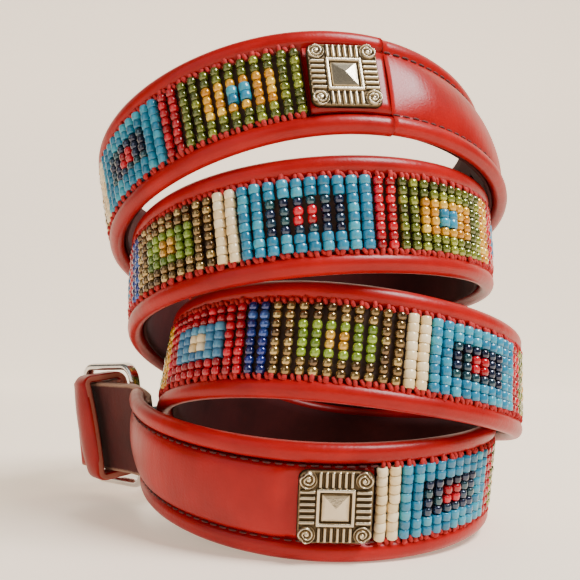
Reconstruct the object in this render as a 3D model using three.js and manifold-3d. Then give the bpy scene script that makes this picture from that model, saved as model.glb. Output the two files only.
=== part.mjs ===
// A red leather belt with a woven bead panel, loosely coiled and standing on its edge.
// Millimetres, +Z up. The coil's axis is Z, the floor is z = 0 and the viewer looks along +Y.

import * as THREE from "three";
import { mergeVertices } from "three/addons/utils/BufferGeometryUtils.js";
import Module from "manifold-3d";

const wasm = await Module();
wasm.setup();

// Driving dimensions of the strap
const strapWidth = 20;
const coilRadius = 38;
const edgeThickness = 2.9;
const edgeRollWidth = 3.5;
const webThickness = 0.9;
const liningThickness = 0.8;
const liningInset = 1.6;
const clearance = 0.3;

// Driving dimensions of the bead panel
const beadPitch = 2.22;
const beadHeight = 2.1;
const beadRows = 8;
const columnsPerBlock = 10;
const columnsBetween = 2;
const blockCount = 26;

// Driving dimensions of the padded leather and the tongue
const padThickness = 1.5;
const padCrown = 1.0;
const tabThickness = 1.15;
const endMargin = 1.2;
const tongueWidth = 19.4;
const tongueCrown = 0.8;
const tongueLength = 92;
const tipLength = 16;
const tipWidth = 6;
const holeRadius = 1.6;
const holePitch = 16;
const holeCount = 3;
const holeFromTip = 30;

// Driving dimensions of the conchos
const conchoSide = 12.2;
const conchoCorner = 1.4;
const conchoThickness = 1.1;
const conchoRelief = 0.55;
const conchoMiddle = 6.4;
const pyramidSide = 4.4;
const pyramidHeight = 0.8;
const ribsPerSide = 6;
const ribRadius = 0.36;
const scrollRadius = 1.1;
const scrollWire = 0.3;

// Driving dimensions of the buckle end
const endLength = 62;
const chapeRootWidth = 16.8;
const chapeThickness = 1.6;
const chapeRoot = 8;
const chapeRootThickness = 0.9;
const chapeReturn = 12.5;
const slotWidth = 4.4;
const slotBack = 3.4;
const frameHeight = 28.4;
const frameLength = 19.6;
const frameCorner = 4.2;
const frameWire = 1.6;
const frameDepth = 2.4;
const prongWidth = 2.4;
const prongThickness = 1.4;
const prongRise = 0.6;
const keeperWidth = 7.6;
const keeperThickness = 2;
const keeperFromHeel = 8.6;
const keeperCorner = 0.6;

// The chape fills the frame's opening but for the keeper round it
const chapeWidth = frameHeight - 2 * (frameWire + keeperThickness + 2 * clearance);

// Where the buckle's heel bar stands, how far the frame and the prong are folded back from the
// way the chape points, how the heel bar leans, and how the keeper's top leans towards it
const heelPlace = [-1.4342 * coilRadius, 0.5921 * coilRadius, 0.895 * strapWidth];
const frameFold = 172;
const prongFold = 110;
const heelLean = -9;
const keeperLean = 8;

// How far the standing coil sags towards its buckle end, in degrees
const coilSag = 1.5;

// Where the bead panel starts, in turns from the middle of the front
const panelTurn = 0.041;

// Sections of the coil, guided by a smooth cubic through these rings: the turn counted from
// the middle of the front, the radius as a share of coilRadius, the height of the strap's
// middle as a share of strapWidth, and the outward lean of its top edge in degrees
const coilGuides = [
  [-0.5, 1.15, 1.3, -6],
  [-0.25, 0.945, 0.92, 8],
  [0, 0.86, 0.36, 14],
  [0.25, 0.9, 0.64, 6],
  [0.5, 0.86, 0.27, 1],
  [0.75, 0.74, 1.6, -11],
  [1, 0.9, 2.03, -16],
  [1.25, 1.12, 1.14, 8],
  [1.5, 0.98, 1.04, 4],
  [1.75, 0.98, 2.4, -3],
  [2, 0.97, 2.94, -4],
  [2.25, 0.87, 2.79, -2],
  [2.5, 1.14, 2.43, 6],
  [2.75, 1.21, 3.11, 18],
  [3, 0.86, 4.27, -18],
  [3.25, 0.91, 3.62, -22],
  [3.5, 1.36, 2.93, 2],
  [3.75, 1.78, 2.96, 12],
];

const guideStep = coilGuides[1][0] - coilGuides[0][0];
const beadColumns = blockCount * (columnsPerBlock + columnsBetween);
const panelLength = beadColumns * beadPitch;
const stationStep = 3 * beadPitch;
const strapEnd = panelLength + conchoSide + 2 * clearance + endMargin;
const tongueStart = strapEnd + clearance;
const liningStart = -endLength + chapeRoot + clearance;
const tipEnd = tongueStart + tongueLength;
const halfStrap = strapWidth / 2;
const halfEdge = edgeThickness / 2;
const halfChannel = halfStrap - edgeRollWidth;
const panelHalf = halfChannel - clearance;
const webTop = webThickness - halfEdge;
const seat = webTop + clearance;
const liningTop = -halfEdge - clearance;
const conchoSeat = seat + tabThickness + clearance;
const barReach = Math.hypot(frameWire, frameDepth) / 2 + clearance;

const radians = THREE.MathUtils.degToRad;

// Value of one guide column at a turn, by a uniform cubic B-spline
function guided(column, turn) {
  const place = (turn - coilGuides[0][0]) / guideStep;
  const index = Math.min(Math.max(Math.floor(place), 1), coilGuides.length - 3);
  const u = place - index;
  const weights = [
    (1 - u) ** 3,
    3 * u ** 3 - 6 * u ** 2 + 4,
    -3 * u ** 3 + 3 * u ** 2 + 3 * u + 1,
    u ** 3,
  ];
  return weights.reduce((sum, weight, k) => sum + (weight * coilGuides[index - 1 + k][column]) / 6, 0);
}

function middle(turn) {
  const angle = (turn - 0.25) * 2 * Math.PI;
  const radius = guided(1, turn) * coilRadius;
  return new THREE.Vector3(Math.cos(angle) * radius, Math.sin(angle) * radius, guided(2, turn) * strapWidth);
}

// Turn at a length along the strap, counted from the start of the bead panel
function turnAt(length) {
  const step = length < 0 ? -0.002 : 0.002;
  let turn = panelTurn;
  let left = Math.abs(length);
  let point = middle(turn);
  while (true) {
    const next = middle(turn + step);
    const piece = point.distanceTo(next);
    if (piece >= left) return turn + (step * left) / piece;
    left -= piece;
    turn += step;
    point = next;
  }
}

// The strap's own directions at a length: along it, across it (up) and out of its face
function strapFrame(length) {
  const turn = turnAt(length);
  const small = 1e-3;
  const along = middle(turn + small).sub(middle(turn - small)).normalize();
  const up = new THREE.Vector3(0, 0, 1).addScaledVector(along, -along.z).normalize();
  const out = new THREE.Vector3().crossVectors(along, up);
  const lean = radians(guided(3, turn));
  const across = up.clone().multiplyScalar(Math.cos(lean)).addScaledVector(out, Math.sin(lean));
  const outward = out.multiplyScalar(Math.cos(lean)).addScaledVector(up, -Math.sin(lean));
  return { origin: middle(turn), along, across, outward };
}

function placed(frame, [across, outward]) {
  return frame.origin.clone().addScaledVector(frame.across, across).addScaledVector(frame.outward, outward);
}

// Closed skin over a row of outlines that all have the same number of points
function skin(rings, outlines) {
  const count = rings[0].length;
  const positions = rings.flat().flatMap((point) => point.toArray());
  const faces = [];
  for (let ring = 0; ring + 1 < rings.length; ring += 1) {
    for (let k = 0; k < count; k += 1) {
      const a = ring * count + k;
      const b = ring * count + ((k + 1) % count);
      faces.push([a, b, b + count], [a, b + count, a + count]);
    }
  }
  const flat = (outline) => outline.map(([x, y]) => new THREE.Vector2(x, y));
  const last = (rings.length - 1) * count;
  const startCap = THREE.ShapeUtils.triangulateShape(flat(outlines[0]), []);
  const endCap = THREE.ShapeUtils.triangulateShape(flat(outlines[outlines.length - 1]), []);
  const turned = THREE.ShapeUtils.isClockWise(flat(outlines[0]));
  for (const [a, b, c] of startCap) faces.push(turned ? [a, b, c] : [a, c, b]);
  for (const [a, b, c] of endCap) faces.push(turned ? [last + a, last + c, last + b] : [last + a, last + b, last + c]);
  const geometry = new THREE.BufferGeometry();
  geometry.setAttribute("position", new THREE.Float32BufferAttribute(positions, 3));
  geometry.setIndex(faces.flat());
  return facingOut(geometry);
}

function signedVolume(geometry) {
  const position = geometry.getAttribute("position");
  const index = geometry.getIndex();
  const corner = (k) => new THREE.Vector3().fromBufferAttribute(position, index.getX(k));
  let volume = 0;
  for (let k = 0; k < index.count; k += 3) {
    volume += corner(k).dot(corner(k + 1).cross(corner(k + 2))) / 6;
  }
  return volume;
}

function facingOut(geometry) {
  if (signedVolume(geometry) > 0) return geometry;
  const index = Array.from(geometry.getIndex().array);
  for (let k = 0; k < index.length; k += 3) [index[k + 1], index[k + 2]] = [index[k + 2], index[k + 1]];
  geometry.setIndex(index);
  return geometry;
}

// Lengths at which a swept piece has an outline: the shared stations and its own two ends
function stations(start, end, extra = []) {
  const lengths = [start, ...extra, end];
  const first = Math.ceil(start / stationStep);
  for (let k = first; k * stationStep < end; k += 1) {
    const length = k * stationStep;
    if (lengths.every((other) => Math.abs(other - length) > 0.6)) lengths.push(length);
  }
  return lengths.sort((a, b) => a - b);
}

// Piece that follows the coil, with an outline that may change along it
function swept(lengths, outlineAt) {
  const outlines = lengths.map((length) => outlineAt(length));
  const rings = lengths.map((length, k) => {
    const frame = strapFrame(length);
    return outlines[k].map((point) => placed(frame, point));
  });
  return skin(rings, outlines);
}

function solid(geometry) {
  const bare = geometry.clone();
  bare.deleteAttribute("normal");
  bare.deleteAttribute("uv");
  const merged = mergeVertices(bare, 1e-4);
  const vertProperties = new Float32Array(merged.getAttribute("position").array);
  const triVerts = new Uint32Array(merged.getIndex().array);
  return new wasm.Manifold(new wasm.Mesh({ numProp: 3, vertProperties, triVerts }));
}

function surface(body) {
  const mesh = body.getMesh();
  const geometry = new THREE.BufferGeometry();
  geometry.setAttribute("position", new THREE.BufferAttribute(mesh.vertProperties, 3));
  geometry.setIndex(new THREE.BufferAttribute(mesh.triVerts, 1));
  return geometry;
}

function joined(geometries) {
  return surface(geometries.map(solid).reduce((all, next) => all.add(next)));
}

function piece(name, geometry, material) {
  geometry.computeVertexNormals();
  const mesh = new THREE.Mesh(geometry, material);
  mesh.name = name;
  return mesh;
}

const redLeather = new THREE.MeshStandardMaterial({ color: 0xb5201d, roughness: 0.45, metalness: 0 });
const liningLeather = new THREE.MeshStandardMaterial({ color: 0x4a1519, roughness: 0.7, metalness: 0 });
const rawLeather = new THREE.MeshStandardMaterial({ color: 0x6b2c25, roughness: 0.8, metalness: 0 });
const glassBeads = new THREE.MeshStandardMaterial({ color: 0x5c7f80, roughness: 0.25, metalness: 0 });
const agedSilver = new THREE.MeshStandardMaterial({ color: 0x9c917c, roughness: 0.4, metalness: 0.9 });
const polishedSteel = new THREE.MeshStandardMaterial({ color: 0xc9c6c2, roughness: 0.2, metalness: 1 });

// Leather body: two rolled edges with a sunk channel between them
function strapOutline(half = halfStrap) {
  const rollHalf = edgeRollWidth / 2;
  const angles = [140, 100, 60, 20, -20, -55, -90];
  const roll = angles.map((angle) => [
    half - rollHalf + rollHalf * Math.cos(radians(angle)),
    halfEdge * Math.sin(radians(angle)),
  ]);
  const mirrored = roll.map(([across, outward]) => [-across, outward]).reverse();
  return [[halfChannel, webTop], ...roll, ...mirrored, [-halfChannel, webTop]];
}

function strap() {
  return swept(stations(-endLength, strapEnd, [liningStart]), () => strapOutline());
}

// Half width of the tongue and of its lining, which narrow towards the round tip
function tongueHalf(length) {
  const inTip = Math.max(0, (length - (tipEnd - tipLength)) / tipLength);
  const full = tongueWidth / 2;
  const narrow = tipWidth / 2;
  return narrow + (full - narrow) * Math.sqrt(1 - Math.min(1, inTip) ** 2);
}

const tipStations = [0, 0.25, 0.5, 0.7, 0.85, 0.95].map((share) => tipEnd - tipLength * (1 - share));
const holePlaces = Array.from({ length: holeCount }, (_, k) => tipEnd - holeFromTip - k * holePitch);

function lining() {
  const bottom = liningTop - liningThickness;
  const lengths = stations(liningStart, tipEnd - liningInset, [strapEnd, ...tipStations]);
  const body = swept(lengths, (length) => {
    const half = (length < tongueStart ? halfStrap : tongueHalf(length)) - liningInset;
    return [[half, liningTop], [-half, liningTop], [-half, bottom], [half, bottom]];
  });
  return punched(body);
}

// Belt holes through the tongue and its lining
function punched(geometry) {
  const reach = 2 * (edgeThickness + liningThickness + tongueCrown);
  let body = solid(geometry);
  for (const length of holePlaces) {
    const frame = strapFrame(length);
    const hole = new THREE.CylinderGeometry(holeRadius, holeRadius, 2 * reach, 14);
    hole.applyMatrix4(new THREE.Matrix4().makeBasis(frame.across, frame.outward, frame.along).setPosition(frame.origin));
    body = body.subtract(solid(hole));
  }
  return surface(body);
}

// Outer form of the woven beads, with the crests of the rows of beads eased at the two sides
function beadPanel() {
  const ease = panelHalf / beadRows;
  const top = seat + beadHeight;
  const outline = [
    [panelHalf, seat],
    [panelHalf, top - ease],
    [panelHalf - ease, top],
    [ease - panelHalf, top],
    [-panelHalf, top - ease],
    [-panelHalf, seat],
  ];
  return swept(stations(0, panelLength), () => outline);
}

// Padded leather between the buckle end and the first concho, and flat where the concho lies on it
function pad() {
  const flatStart = -clearance - conchoSide - 2 * clearance;
  const full = flatStart - 3;
  return swept(stations(-endLength, -clearance, [full, flatStart]), (length) => {
    const share = Math.min(1, Math.max(0, (flatStart - length) / (flatStart - full)));
    const edge = seat + tabThickness + (padThickness - tabThickness) * share;
    return padOutline(panelHalf, edge, padCrown * share);
  });
}

function padOutline(half, edge, crown) {
  const shares = [1, 0.86, 0.5, 0, -0.5, -0.86, -1];
  const top = shares.map((share) => [half * share, edge + crown * (1 - share ** 2) - 0.25 * share ** 6]);
  return [[half, seat], ...top, [-half, seat]];
}

// Tongue with rolled edges and a domed middle, and the flat tab that carries the second concho
function tongue() {
  const tabEnd = tongueStart + conchoThickness;
  const tabTop = seat + tabThickness;
  const tab = swept(stations(panelLength + clearance, tabEnd), () => [
    [panelHalf, seat],
    [panelHalf, tabTop],
    [-panelHalf, tabTop],
    [-panelHalf, seat],
  ]);
  const body = swept(stations(tongueStart, tipEnd, tipStations), (length) => {
    const half = tongueHalf(length);
    const scale = (2 * half) / tongueWidth;
    const groove = halfChannel * scale;
    const roll = strapOutline(tongueWidth / 2).slice(1, -1).map(([across, outward]) => [across * scale, outward]);
    const dome = [0.97, 0.6, 0, -0.6, -0.97].map((share) => [
      groove * share,
      halfEdge - 0.45 + (tongueCrown + 0.45) * (1 - share ** 2),
    ]).reverse();
    return [...roll, ...dome];
  });
  return punched(joined([tab, body]));
}

function roundedSquare(side, corner) {
  return roundedShape(side, side, corner, THREE.Shape);
}

function roundedShape(width, height, corner, Kind) {
  const [x, y] = [width / 2, height / 2];
  const shape = new Kind();
  shape.moveTo(-x + corner, -y);
  shape.lineTo(x - corner, -y);
  shape.absarc(x - corner, -y + corner, corner, -Math.PI / 2, 0, false);
  shape.lineTo(x, y - corner);
  shape.absarc(x - corner, y - corner, corner, 0, Math.PI / 2, false);
  shape.lineTo(-x + corner, y);
  shape.absarc(-x + corner, y - corner, corner, Math.PI / 2, Math.PI, false);
  shape.lineTo(-x, -y + corner);
  shape.absarc(-x + corner, -y + corner, corner, Math.PI, 1.5 * Math.PI, false);
  return shape;
}

// Spiral wire in one corner of a concho, standing half out of its plate
function scroll() {
  const points = Array.from({ length: 15 }, (_, k) => {
    const angle = (k / 14) * 2.6 * Math.PI;
    const radius = scrollRadius * (1 - 0.72 * (k / 14));
    return new THREE.Vector3(Math.cos(angle) * radius, Math.sin(angle) * radius, 0);
  });
  const section = new THREE.Shape();
  section.absarc(0, 0, scrollWire, 0, 2 * Math.PI, false);
  const path = new THREE.CatmullRomCurve3(points);
  return new THREE.ExtrudeGeometry(section, { steps: 16, extrudePath: path, curveSegments: 3 });
}

// Square silver plate with ribs, a scroll in each corner, a raised inner frame and a low pyramid
function concho() {
  const relief = conchoThickness + conchoRelief;
  const plate = new THREE.ExtrudeGeometry(roundedSquare(conchoSide, conchoCorner), {
    depth: conchoThickness,
    bevelEnabled: false,
    curveSegments: 3,
  });
  const innerFrame = new THREE.ExtrudeGeometry(roundedSquare(conchoMiddle, 0.5), {
    depth: relief,
    bevelEnabled: false,
    curveSegments: 2,
  });
  const inset = new THREE.BoxGeometry(conchoMiddle - 1.3, conchoMiddle - 1.3, 2 * conchoRelief);
  inset.translate(0, 0, relief);
  const pyramid = new THREE.ConeGeometry(pyramidSide / Math.SQRT2, pyramidHeight, 4);
  pyramid.rotateX(Math.PI / 2).rotateZ(Math.PI / 4).translate(0, 0, conchoThickness + pyramidHeight / 2 - 0.01);
  let body = solid(plate).add(solid(innerFrame)).subtract(solid(inset)).add(solid(pyramid));

  const cornerPlace = conchoSide / 2 - scrollRadius - scrollWire - 0.25;
  const ribStart = conchoMiddle / 2 - 0.1;
  const ribLength = conchoSide / 2 - 0.35 - ribStart;
  const ribSpan = 2 * (cornerPlace - scrollRadius - scrollWire);
  for (let side = 0; side < 4; side += 1) {
    const turn = (side * Math.PI) / 2;
    const spiral = scroll().rotateZ(Math.PI).translate(cornerPlace, cornerPlace, conchoThickness + 0.12);
    body = body.add(solid(spiral.rotateZ(turn)));
    for (let k = 0; k < ribsPerSide; k += 1) {
      const rib = new THREE.CylinderGeometry(ribRadius, ribRadius, ribLength, 6);
      const offset = ribSpan * ((k + 0.5) / ribsPerSide - 0.5);
      rib.translate(offset, ribStart + ribLength / 2, conchoThickness + 0.08);
      body = body.add(solid(rib.rotateZ(turn)));
    }
  }
  return surface(body);
}

// Concho laid flat on the strap at a length
function seated(name, length) {
  const frame = strapFrame(length);
  const mesh = piece(name, concho(), agedSilver);
  const basis = new THREE.Matrix4().makeBasis(frame.along, frame.across, frame.outward);
  mesh.quaternion.setFromRotationMatrix(basis);
  mesh.position.copy(placed(frame, [0, conchoSeat]));
  return mesh;
}

// The buckle end's own directions: away from the strap along the chape, the lean of the heel
// bar, and out of the chape's face
const rootFrame = strapFrame(-endLength);
const heel = new THREE.Vector3(...heelPlace);
const chapeFoot = placed(rootFrame, [0, liningTop - chapeRootThickness / 2]);
const away = heel.clone().sub(chapeFoot).setZ(0).normalize();
const barUp = new THREE.Vector3(Math.sin(radians(heelLean)), 0, Math.cos(radians(heelLean)));
barUp.addScaledVector(away, -barUp.dot(away)).normalize();
const chapeOut = new THREE.Vector3().crossVectors(barUp, away).normalize();

// Middle line of the chape: along the strap's inner face, out to the heel bar, round it and back
function chapeLine() {
  const line = [];
  const half = chapeThickness / 2;
  const wrap = barReach + half;
  for (const length of [chapeRoot - clearance, chapeRoot / 2, -clearance]) {
    const frame = strapFrame(length - endLength);
    const point = placed(frame, [0, liningTop - chapeRootThickness / 2]);
    line.push({ ...frame, point, thickness: chapeRootThickness, width: chapeRootWidth });
  }
  for (const share of [0.2, 0.4, 0.62, 0.82, 1]) {
    const point = chapeFoot.clone().lerp(heel, share).addScaledVector(chapeOut, wrap * share ** 2);
    const across = rootFrame.across.clone().lerp(barUp, Math.min(1, 1.7 * share)).normalize();
    const outward = rootFrame.outward.clone().lerp(chapeOut, Math.min(1, 1.6 * share)).normalize();
    const swell = Math.min(1, 5 * share);
    const thickness = chapeRootThickness + (chapeThickness - chapeRootThickness) * swell;
    const width = chapeRootWidth + (chapeWidth - chapeRootWidth) * swell;
    line.push({ point, across, outward, thickness, width });
  }
  for (const angle of [30, 60, 90, 120, 150, 180]) {
    const outward = chapeOut.clone().applyAxisAngle(barUp, -radians(angle));
    const point = heel.clone().addScaledVector(outward, wrap);
    line.push({ point, across: barUp, outward, thickness: chapeThickness, width: chapeWidth });
  }
  const back = line[line.length - 1];
  line.push({ ...back, point: back.point.clone().addScaledVector(away, -chapeReturn) });
  return line;
}

function chape() {
  const rings = chapeLine().map(({ point, across, outward, thickness, width }) => {
    const frame = { origin: point, across, outward };
    const [x, y] = [width / 2, thickness / 2];
    return [[x, -y], [x, y], [-x, y], [-x, -y]].map((corner) => placed(frame, corner));
  });
  const outline = [[1, -1], [1, 1], [-1, 1], [-1, -1]];
  const body = skin(rings, rings.map(() => outline));
  const slotEnd = barReach + 2 * chapeThickness;
  const slot = new THREE.BoxGeometry(slotBack + slotEnd, 2 * slotEnd, slotWidth);
  slot.translate((slotEnd - slotBack) / 2, 0, 0);
  return surface(solid(body).subtract(solid(slot.applyMatrix4(heelMatrix(0)))));
}

// Place on the heel bar, folded back by an angle: x runs from the bar along the folded piece
function heelMatrix(fold) {
  const x = away.clone().applyAxisAngle(barUp, -radians(fold));
  const y = new THREE.Vector3().crossVectors(barUp, x);
  return new THREE.Matrix4().makeBasis(x, y, barUp).setPosition(heel);
}

// Rounded rectangular frame, with its heel bar on the origin and its far bar along +X
function buckleFrame() {
  const outer = roundedShape(frameLength + frameWire, frameHeight, frameCorner, THREE.Shape);
  const inner = roundedShape(
    frameLength - frameWire,
    frameHeight - 2 * frameWire,
    frameCorner - frameWire,
    THREE.Path,
  );
  outer.holes.push(inner);
  const geometry = new THREE.ExtrudeGeometry(outer, { depth: frameDepth, bevelEnabled: false, curveSegments: 6 });
  geometry.translate(frameLength / 2, 0, -frameDepth / 2).rotateX(Math.PI / 2);
  return geometry;
}

// Prong: an eye round the heel bar and an arm that reaches just past the far bar
function prong() {
  const eye = barReach + prongThickness;
  const rise = Math.atan2(frameDepth / 2 + prongRise, frameLength);
  const outline = new THREE.Shape();
  const lift = Math.asin(prongThickness / eye);
  outline.absarc(0, 0, eye, lift, 2 * Math.PI, false);
  outline.lineTo(frameLength + frameWire, 0);
  outline.lineTo(frameLength + frameWire, prongThickness * 0.7);
  outline.lineTo(frameLength / 2, prongThickness);
  const bore = new THREE.Path();
  bore.absarc(0, 0, barReach, 0, 2 * Math.PI, true);
  outline.holes.push(bore);
  const geometry = new THREE.ExtrudeGeometry(outline, { depth: prongWidth, bevelEnabled: false, curveSegments: 10 });
  geometry.translate(0, 0, -prongWidth / 2).rotateZ(rise);
  return geometry;
}

// Flat leather loop round the chape and its returned end
function keeper() {
  const depth = 2 * (barReach + chapeThickness + clearance);
  const height = chapeWidth + 2 * clearance;
  const outer = roundedShape(
    depth + 2 * keeperThickness,
    height + 2 * keeperThickness,
    keeperThickness + keeperCorner,
    THREE.Shape,
  );
  outer.holes.push(roundedShape(depth, height, keeperCorner, THREE.Path));
  const geometry = new THREE.ExtrudeGeometry(outer, { depth: keeperWidth, bevelEnabled: false, curveSegments: 5 });
  geometry.translate(0, 0, -keeperWidth / 2);
  geometry.applyMatrix4(new THREE.Matrix4().makeShear(0, 0, 0, Math.tan(radians(keeperLean)), 0, 0));
  const place = heel.clone().addScaledVector(away, -keeperFromHeel);
  return geometry.applyMatrix4(new THREE.Matrix4().makeBasis(chapeOut, barUp, away).setPosition(place));
}

function folded(name, geometry, fold) {
  const mesh = piece(name, geometry, polishedSteel);
  heelMatrix(fold).decompose(mesh.position, mesh.quaternion, mesh.scale);
  return mesh;
}

const belt = new THREE.Group();
const conchoFromPanel = conchoSide / 2 + clearance;
belt.add(piece("strap", strap(), redLeather));
belt.add(piece("lining", lining(), liningLeather));
belt.add(piece("bead_panel", beadPanel(), glassBeads));
belt.add(piece("pad", pad(), redLeather));
belt.add(piece("tongue", tongue(), redLeather));
belt.add(seated("concho_1", -conchoFromPanel));
belt.add(seated("concho_2", panelLength + conchoFromPanel));
belt.add(piece("chape", chape(), rawLeather));
belt.add(piece("keeper", keeper(), redLeather));
belt.add(folded("buckle_frame", buckleFrame(), frameFold));
belt.add(folded("prong", prong(), prongFold));

// The belt stands with the middle of its box's bottom on the origin
belt.rotation.y = -radians(coilSag);
const box = new THREE.Box3().setFromObject(belt, true);
const boxMiddle = box.getCenter(new THREE.Vector3());
belt.position.set(-boxMiddle.x, -boxMiddle.y, -box.min.z);
const standing = new THREE.Group();
standing.add(belt);

export default standing;
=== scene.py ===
import math

import bmesh
import bpy
import numpy as np
from mathutils import Matrix, Vector


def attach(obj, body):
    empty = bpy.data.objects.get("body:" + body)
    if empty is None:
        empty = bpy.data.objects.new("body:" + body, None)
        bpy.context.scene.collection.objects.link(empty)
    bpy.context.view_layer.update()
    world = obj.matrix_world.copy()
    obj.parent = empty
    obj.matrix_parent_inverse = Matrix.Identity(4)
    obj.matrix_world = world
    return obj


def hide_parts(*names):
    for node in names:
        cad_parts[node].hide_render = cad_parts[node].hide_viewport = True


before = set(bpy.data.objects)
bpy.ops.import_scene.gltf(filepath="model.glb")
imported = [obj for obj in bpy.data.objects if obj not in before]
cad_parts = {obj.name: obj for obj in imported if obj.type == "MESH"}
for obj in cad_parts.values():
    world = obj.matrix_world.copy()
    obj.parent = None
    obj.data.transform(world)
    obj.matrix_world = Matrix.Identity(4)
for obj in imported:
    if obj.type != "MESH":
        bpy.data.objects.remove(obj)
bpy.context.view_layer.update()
mm = 0.001

# the coil's route, the same as the CAD's
coil = {
    "radius": 38.0,
    "width": 20.0,
    "panelTurn": 0.041,
    "sagDegrees": 1.5,
    "offset": (8.8750, -2.7466, 0.0129),
    "guides": (  # turn, radius share, height share, outward lean in degrees
        (-0.5, 1.15, 1.3, -6), (-0.25, 0.945, 0.92, 8), (0, 0.86, 0.36, 14),
        (0.25, 0.9, 0.64, 6), (0.5, 0.86, 0.27, 1), (0.75, 0.74, 1.6, -11),
        (1, 0.9, 2.03, -16), (1.25, 1.12, 1.14, 8), (1.5, 0.98, 1.04, 4),
        (1.75, 0.98, 2.4, -3), (2, 0.97, 2.94, -4), (2.25, 0.87, 2.79, -2),
        (2.5, 1.14, 2.43, 6), (2.75, 1.21, 3.11, 18), (3, 0.86, 4.27, -18),
        (3.25, 0.91, 3.62, -22), (3.5, 1.36, 2.93, 2), (3.75, 1.78, 2.96, 12),
    ),
}
strap = {
    "edgeThickness": 2.9, "edgeRoll": 3.5, "web": 0.9, "lining": 0.8, "liningInset": 1.6,
    "gap": 0.3, "endLength": 62.0, "chapeRoot": 8.0, "endMargin": 1.2,
    "wear": (1.0, 0.92, 0.8, 0.68, 0.56, 0.46),  # of the rings at the buckle end
}
beads = {
    "pitch": 2.22, "height": 2.1, "rows": 8, "blockColumns": 10, "between": 2, "blocks": 26,
    "length": 1.53, "opaqueWidth": 2.0, "cutWidth": 1.76, "hole": 0.62, "scatter": 0.045, "sway": 0.1,
    "riseScatter": 0.03, "placeScatter": 0.05, "tipScatter": 0.05, "backing": 0.42,
}
tongue = {
    "width": 19.4, "crown": 0.8, "grooveDepth": 0.55, "length": 92.0, "tip": 16.0, "tipWidth": 6.0,
    "hole": 1.6, "holePitch": 16.0, "holes": 3, "holeFromTip": 30.0, "punch": 8.0,
}
concho = {
    "side": 12.2, "corner": 1.4, "cells": 150, "ribs": 6, "plate": 0.62, "ribRise": 0.48, "ribFrom": 3.15,
    "scroll": 1.5, "scrollPlace": 4.55, "scrollPitch": 0.62, "frame": (2.55, 3.2), "frameRise": 0.62,
    "pyramid": 2.45, "pyramidRise": (0.3, 0.78), "rimRise": 0.2, "edgeDrop": 0.25,
}

pad = {"thickness": 1.15, "edge": 0.35, "crown": 1.0, "ramp": 3.0, "waver": 0.02, "sideDrop": 0.5}

panelLength = beads["blocks"] * (beads["blockColumns"] + beads["between"]) * beads["pitch"]
strapEnd = panelLength + concho["side"] + 2 * strap["gap"] + strap["endMargin"]
tongueStart = strapEnd + strap["gap"]
tipEnd = tongueStart + tongue["length"]
halfEdge = strap["edgeThickness"] / 2
halfChannel = coil["width"] / 2 - strap["edgeRoll"]
panelHalf = halfChannel - strap["gap"]
webTop = strap["web"] - halfEdge
seat = webTop + strap["gap"]
liningTop = -halfEdge - strap["gap"]
tabThickness = pad["thickness"]
sagTurn = Matrix.Rotation(math.radians(-coil["sagDegrees"]), 4, "Y")
standing = Matrix.Translation(Vector(coil["offset"])) @ sagTurn
turnBase = np.array(standing.to_3x3())
guideTable = np.array(coil["guides"], float)


def guided(column, turn):
    place = (np.asarray(turn, float) - guideTable[0, 0]) / (guideTable[1, 0] - guideTable[0, 0])
    index = np.clip(np.floor(place).astype(int), 1, len(guideTable) - 3)
    u = place - index
    weights = ((1 - u) ** 3, 3 * u**3 - 6 * u**2 + 4, -3 * u**3 + 3 * u**2 + 3 * u + 1, u**3)
    return sum(w * guideTable[index - 1 + k, column] for k, w in enumerate(weights)) / 6


def middle(turn):
    angle = (np.asarray(turn, float) - 0.25) * 2 * math.pi
    radius = guided(1, turn) * coil["radius"]
    return np.stack([np.cos(angle) * radius, np.sin(angle) * radius, guided(2, turn) * coil["width"]], -1)


fineTurns = np.linspace(-0.31, 3.5, 7621)
finePoints = middle(fineTurns)
fineLengths = np.concatenate([[0], np.cumsum(np.linalg.norm(np.diff(finePoints, axis=0), axis=1))])
fineLengths -= np.interp(coil["panelTurn"], fineTurns, fineLengths)


def unit(v):
    return v / np.linalg.norm(v, axis=-1, keepdims=True)


def strapFrames(lengths):
    turn = np.interp(lengths, fineLengths, fineTurns)
    along = unit(middle(turn + 1e-3) - middle(turn - 1e-3))
    up = unit(np.array([0, 0, 1.0]) - along * along[:, 2:3])
    out = np.cross(along, up)
    lean = np.radians(guided(3, turn))[:, None]
    across = up * np.cos(lean) + out * np.sin(lean)
    outward = out * np.cos(lean) - up * np.sin(lean)
    return middle(turn), along, across, outward


def frameAt(length):
    return (part[0] for part in strapFrames(np.array([length])))


def stood(points):
    flat = np.asarray(points, float).reshape(-1, 3)
    moved = flat @ turnBase.T + np.array(coil["offset"])
    return moved.reshape(np.shape(points)) * mm


# mesh helpers
def newObject(name, mesh):
    obj = bpy.data.objects.new(name, mesh)
    bpy.context.scene.collection.objects.link(obj)
    return obj


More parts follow.
